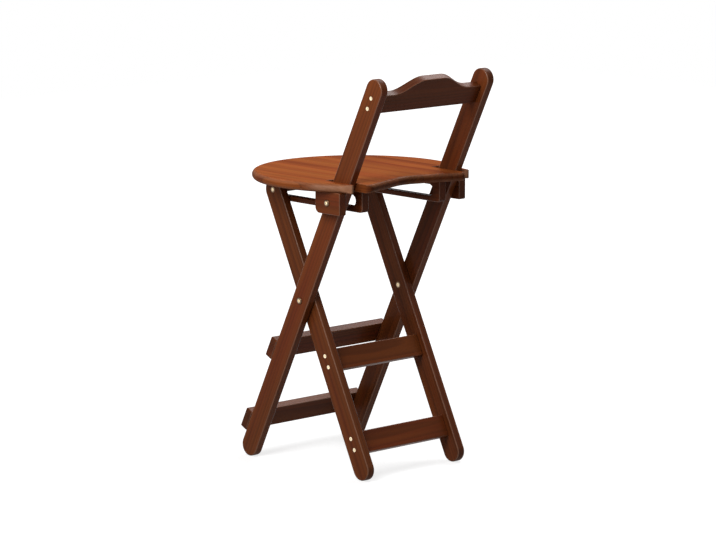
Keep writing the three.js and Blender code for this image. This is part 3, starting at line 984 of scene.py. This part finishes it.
class STOOL_OT_seat(Operator):
    """The seat board, glued up from staves"""

    bl_idname = "stool.seat"
    bl_label = "Seat"

    def execute(self, context):
        low, high = box_of("seat")
        edges, edge = seat_outline()
        surface = plate((X, ACROSS, UP), edges, (low[UP], high[UP]), edge, ACROSS, 8)
        self.rim_wear_and_highlight(surface[0], surface[2])
        board("seat", surface, screw_holes("batten", "cleat"), "seat_wood")
        return {"FINISHED"}

    def rim_wear_and_highlight(self, points, marks):
        """Wear and a painted highlight where hands hold the seat: on the side of the board, growing
        along the flanks towards the horns as a smooth step. The rest of the rim gets less of both."""
        horn = setting("seat").horn
        along = np.clip((points[:, ACROSS] + horn) / horn, 0, 1)
        outside = np.abs(points[:, X]) > box_of("outer_leg_left")[1][X]
        held_and_lit = outside * marks["side"] * along ** 2 * (3 - 2 * along)
        marks["worn"] = np.maximum(marks["worn"] * 0.62, held_and_lit)


def fixing(node, surface, clean):
    """A finished fixing from its surface; the third argument marks how bright its plating is
    drawn: clean metal and painted highlight where high, tarnish and painted shade where low.
    """
    piece = linked(f"plated_{node}", mesh_of(node, PLACES[BODIES[node]], [surface]))
    set_attribute(piece.data, "clean", "FLOAT", clean)
    smoothed(piece, FIXING_SHARP)
    dressed(piece, node, "fixings")


def turned(node, start, axis, sign, turn, *rows):
    """A finished fixing from rows of its profile, as (radius, depth, how clean and lit the
    plating is drawn, with painted highlight and shade) at each turn.
    """
    rows = [np.broadcast_arrays(*row, turn)[:3] for row in rows]
    radius, depth, clean = (np.concatenate(values) for values in zip(*rows))
    fixing(node, spun(start, axis, sign, radius, depth), clean)


def wood_screw(node, axis, sign):
    """A wood screw: a cross recess in a flat head, a cone, a threaded shank and a point.

    The recess is as deep as a point is inside its arms, tapering outwards. The thread is a
    ridge that climbs by its pitch with each turn."""
    size = setting("fixings")
    start, reach = head_of(node, axis, sign)
    turn = circle(SCREW_AROUND)
    head, rim, shank, pitch = size.screw_head, size.screw_rim, size.screw_radius, size.thread_pitch

    arm, arm_half, floor = head * 0.54, head * 0.1, head * 0.26
    ring = [0.05, 0.1, 0.16, 0.22, 0.3, 0.38, 0.46, 0.52, 0.58, 0.66, 0.8, 0.93]
    top = head * np.array(ring)[:, None]
    off = np.minimum(np.abs(top * np.cos(turn)), np.abs(top * np.sin(turn)))
    inside = np.clip((arm_half * 1.5 - off) / (arm_half * 0.8), 0, 1)
    taper = np.clip((arm - top) / (arm * 0.35), 0, 1)
    recess = floor * inside * taper * (1 - 0.3 * top / arm)
    dome = size.fit * 0.25 * (top / head) ** 2

    cone = rim + size.screw_cone
    side, side_depth = np.array([(head, size.fit * 0.6), (head, rim), (shank, cone)]).T[..., None]

    step = 0.0004
    depth = np.arange(cone + pitch, reach - step / 2, step)[:, None]
    phase = (depth / pitch - turn / (2 * math.pi)) % 1
    ridge = np.clip(1 - np.abs(phase - 0.5) * 4, 0, 1)
    point = np.clip((reach - depth) / size.screw_point, 0, 1)
    thread = shank * (0.68 + 0.3 * ridge) * (0.08 + 0.92 * point)

    # Painted shade: the plating is drawn duller inside the cross recess.
    clean = 1 - 0.5 * np.clip(recess / (floor * 0.5), 0, 1)
    turned(
        node, start, axis, sign, turn,
        (top, recess + dome, clean), (side, side_depth, 0.55), (thread, depth, 0.6),
    )


class STOOL_OT_wood_screws(Operator):
    """The wood screws of the rail, the rungs, the battens and the cleats"""

    bl_idname = "stool.wood_screws"
    bl_label = "Wood Screws"

    def execute(self, context):
        for screw in screws(*SCREW_ROWS):
            wood_screw(*screw)
        return {"FINISHED"}


def socketed(node, sign, head, crown, sides):
    """A fixing along X with a six-sided socket in its head.

    The socket's rings are hexagons, given as shares of its width. Outside it they turn round
    by degrees, and the crown falls from the top to the rim as a quarter of an ellipse; it is
    drawn bright on top and dull towards the rim, as a painted highlight and painted shade.
    sides gives what follows, as (radius, depth, how clean and lit the plating is drawn). A depth
    of 0 or less counts from the fixing's far end."""
    size = setting("fixings")
    start, reach = head_of(node, X, sign)
    turn = circle(AROUND)
    sector = math.pi / 3
    six = size.socket / np.cos((turn + sector / 2) % sector - sector / 2)
    floor = min(size.socket_depth, size.sleeve_floor - size.fit * 3)
    share, socket_depth, socket_clean_and_lit = np.array([
        (0.12, floor, 0.9), (0.7, floor, 0.9), (0.97, floor - size.fit, 0.7),
        (1, size.fit, 0.8), (1.1, 0, 1),
    ]).T[..., None]
    part = np.linspace(0, QUARTER, 9)[1:, None]
    lip = six * share[-1]
    side, side_depth, side_clean_and_lit = np.array(sides).T[..., None]
    side_depth = np.where(side_depth > 0, side_depth, reach + side_depth)
    turned(
        node, start, X, sign, turn, (six * share, socket_depth, socket_clean_and_lit),
        (lip + (head - lip) * np.sin(part), crown * (1 - np.cos(part)), (1 - np.sin(part)) ** 3),
        (side, side_depth, side_clean_and_lit),
    )


def both_sides(*kinds):
    """The left and the right piece of some kinds: each one's node and its outward way."""
    for side, sign in SIDES.items():
        for kind in kinds:
            yield f"{kind}_{side}", sign


class STOOL_OT_bolts(Operator):
    """The pivot bolts and the seat bolts, with domed heads"""

    bl_idname = "stool.bolts"
    bl_label = "Bolts"

    def execute(self, context):
        size = setting("fixings")
        head, high, shank, edge = size.bolt_head, size.head_height, size.bolt_radius, size.fit * 2
        crown = high * 0.7
        for node, sign in both_sides("pivot_bolt", "seat_bolt"):
            socketed(node, -sign, head, crown, [
                (head, high, 0.2), (shank, high, 0.5), (shank, -edge, 0.5), (shank - edge, 0, 0.5),
            ])
        return {"FINISHED"}


class STOOL_OT_rod_screws(Operator):
    """The flush screws that hold the cross rod"""

    bl_idname = "stool.rod_screws"
    bl_label = "Rod Screws"

    def execute(self, context):
        size = setting("fixings")
        head, rim, shank = size.rod_screw_head, size.screw_rim, size.rod_screw_radius
        for node, sign in both_sides("rod_screw"):
            socketed(node, -sign, head, size.fit, [
                (head, rim, 0.4), (shank, rim + size.rod_screw_cone, 0.5),
                (shank, -size.screw_point * 0.8, 0.5), (shank * 0.15, 0, 0.5),
            ])
        return {"FINISHED"}


class STOOL_OT_nuts(Operator):
    """The sleeve nuts of the pivot bolts and the seat bolts"""

    bl_idname = "stool.nuts"
    bl_label = "Sleeve Nuts"

    def execute(self, context):
        size = setting("fixings")
        head, inside, floor = size.bolt_head, size.bolt_radius + size.fit, size.sleeve_floor
        dull_and_shaded = 0.4
        sides = [
            (head, size.flange, dull_and_shaded), (size.sleeve, size.flange, dull_and_shaded), (size.sleeve, 0, dull_and_shaded),
            (inside, 0, dull_and_shaded), (inside, floor, dull_and_shaded), (inside * 0.2, floor, dull_and_shaded),
        ]
        for node, sign in both_sides("pivot_nut", "seat_bolt_nut"):
            socketed(node, sign, head, size.fit, sides)
        return {"FINISHED"}


class STOOL_OT_washers(Operator):
    """The washers at the pivot bolts and under the cleats"""

    bl_idname = "stool.washers"
    bl_label = "Washers"

    def execute(self, context):
        size = setting("fixings")
        inner = size.bolt_radius + size.fit
        for node, sign in both_sides("pivot_washer", "seat_washer"):
            start, thick = head_of(node, X, sign)
            outer, edge = head_of(node, UP, 1)[1] / 2, thick / 4
            vertices, faces = lathe(start, X, sign, [
                (inner, 0), (outer - edge, 0), (outer, edge), (outer, thick - edge),
                (outer - edge, thick), (inner, thick),
            ], AROUND)
            first = np.arange(AROUND)
            ahead, last = np.roll(first, -1), len(vertices) - AROUND
            bore = np.stack([first, last + first, last + ahead, ahead], -1)[:, ::sign]
            surface = vertices, faces[:-2] + bore.tolist()
            fixing(node, surface, clean=np.full(len(vertices), 0.7))
        return {"FINISHED"}


class STOOL_OT_stage(Operator):
    """The camera, the lights, the floor and the white surroundings"""

    bl_idname = "stool.stage"
    bl_label = "Stage"

    def execute(self, context):
        stage = setting("stage")
        context.scene.view_settings.view_transform = "Standard"
        self.camera(stage)
        self.lamp("key", (1.45, 0.4, 1.75), 1.0, 1.0, stage.key)
        self.lamp("top", (-1.75, -0.55, 2.75), 1.7, 1.7, stage.top)
        self.lamp("strip", (2.5, 0.34, 1.25), 0.7, 1.2, stage.strip)
        self.floor(stage.floor_size / 2)
        self.surroundings(stage.sky)
        return {"FINISHED"}

    def stand(self, name, data, at, way):
        """A camera or lamp at a place, facing some way."""
        stood = bpy.data.objects.new(name, data)
        stood.location = at
        stood.rotation_mode = "QUATERNION"
        stood.rotation_quaternion = way.to_track_quat("-Z", "Y")
        bpy.context.scene.collection.objects.link(stood)
        return stood

    def camera(self, stage):
        """The camera, which looks from its azimuth and elevation."""
        around, above = stage.azimuth, stage.elevation
        level = math.cos(above)
        back = Vector((math.sin(around) * level, -math.cos(around) * level, math.sin(above)))
        data = bpy.data.cameras.new("camera")
        data.lens, data.sensor_width, data.clip_end = stage.lens, 36, 60
        bpy.context.scene.camera = self.stand("camera", data, stage.camera_at, -back)

    def lamp(self, name, at, width, height, power):
        """A soft light that faces the stool's middle."""
        data = bpy.data.lights.new(name, "AREA")
        data.shape = "RECTANGLE"
        data.size, data.size_y, data.energy = width, height, power
        self.stand(name, data, at, (frame_box[0] + frame_box[1]) / 2 - Vector(at))

    def floor(self, half):
        """A floor that the camera sees as white with the stool's shadow, and that sends little
        light back up. The white's share grows over a span of the distance from the middle."""
        near, span, share_near = 0.35, 0.9, 0.6
        level = frame_box[0].z - FLOOR_GAP
        corners = [(x * half, y * half, level) for x, y in ((-1, -1), (1, -1), (1, 1), (-1, 1))]
        mesh = bpy.data.meshes.new("floor")
        mesh.from_pydata(corners, [], [(0, 1, 2, 3)])
        floor = linked("floor", mesh)
        material = bpy.data.materials.new("floor")
        make = Finish(material)
        x, y, _ = make.split(make.node("TexCoord", None, "Object"))
        far = ((x * x + y * y) ** 0.5 - near) / span
        fade = share_near + (1 - share_near) * far.smaller(1).larger(0)
        pale = make.node("BsdfDiffuse", {"Color": (0.93, 0.93, 0.93, 1)})
        grey = make.node("BsdfDiffuse", {"Color": (0.3, 0.29, 0.28, 1)})
        glow = make.node("Emission", {"Color": (1, 1, 1, 1), "Strength": 1.25})
        white = make.node("MixShader", {0: fade, 1: pale, 2: glow})
        both = make.node("MixShader", {0: shows(make), 1: grey, 2: white})
        make.node("OutputMaterial", {"Surface": both})
        mesh.materials.append(material)

    def surroundings(self, strength):
        """Even light from all round, which the camera and mirrors see as white."""
        world = bpy.data.worlds.new("surroundings")
        bpy.context.scene.world = world
        make = Finish(world)
        glow = strength + (1 - strength) * shows(make)
        sky = make.node("Background", {"Color": (1, 1, 1, 1), "Strength": glow})
        make.node("OutputWorld", {"Surface": sky})


OPERATORS = (
    STOOL_OT_outer_legs, STOOL_OT_inner_legs, STOOL_OT_rungs, STOOL_OT_back_rail,
    STOOL_OT_battens, STOOL_OT_cross_rod, STOOL_OT_seat, STOOL_OT_wood_screws,
    STOOL_OT_bolts, STOOL_OT_rod_screws, STOOL_OT_nuts, STOOL_OT_washers, STOOL_OT_stage,
)


class STOOL_PT_panel(Panel):
    """Lists the stool's pieces and its settings"""

    bl_label = "Folding Bar Stool"
    bl_idname = "STOOL_PT_panel"
    bl_space_type = "VIEW_3D"
    bl_region_type = "UI"
    bl_category = "Stool"

    def draw(self, context):
        for operator in OPERATORS:
            self.layout.operator(operator.bl_idname)
        for name, group in SETTINGS.items():
            box = self.layout.box()
            for prop in group.__annotations__:
                box.prop(getattr(context.scene, name), prop)


CLASSES = (*SETTINGS.values(), *OPERATORS, STOOL_PT_panel)


def register():
    for kind in CLASSES:
        bpy.utils.register_class(kind)
    for name, group in SETTINGS.items():
        setattr(bpy.types.Scene, name, PointerProperty(type=group))


def unregister():
    for name in SETTINGS:
        delattr(bpy.types.Scene, name)
    for kind in reversed(CLASSES):
        bpy.utils.unregister_class(kind)


def main():
    """Makes every piece and the stage."""
    register()
    for operator in OPERATORS:
        group, name = operator.bl_idname.split(".")
        getattr(getattr(bpy.ops, group), name)()


if __name__ == "__main__":
    main()
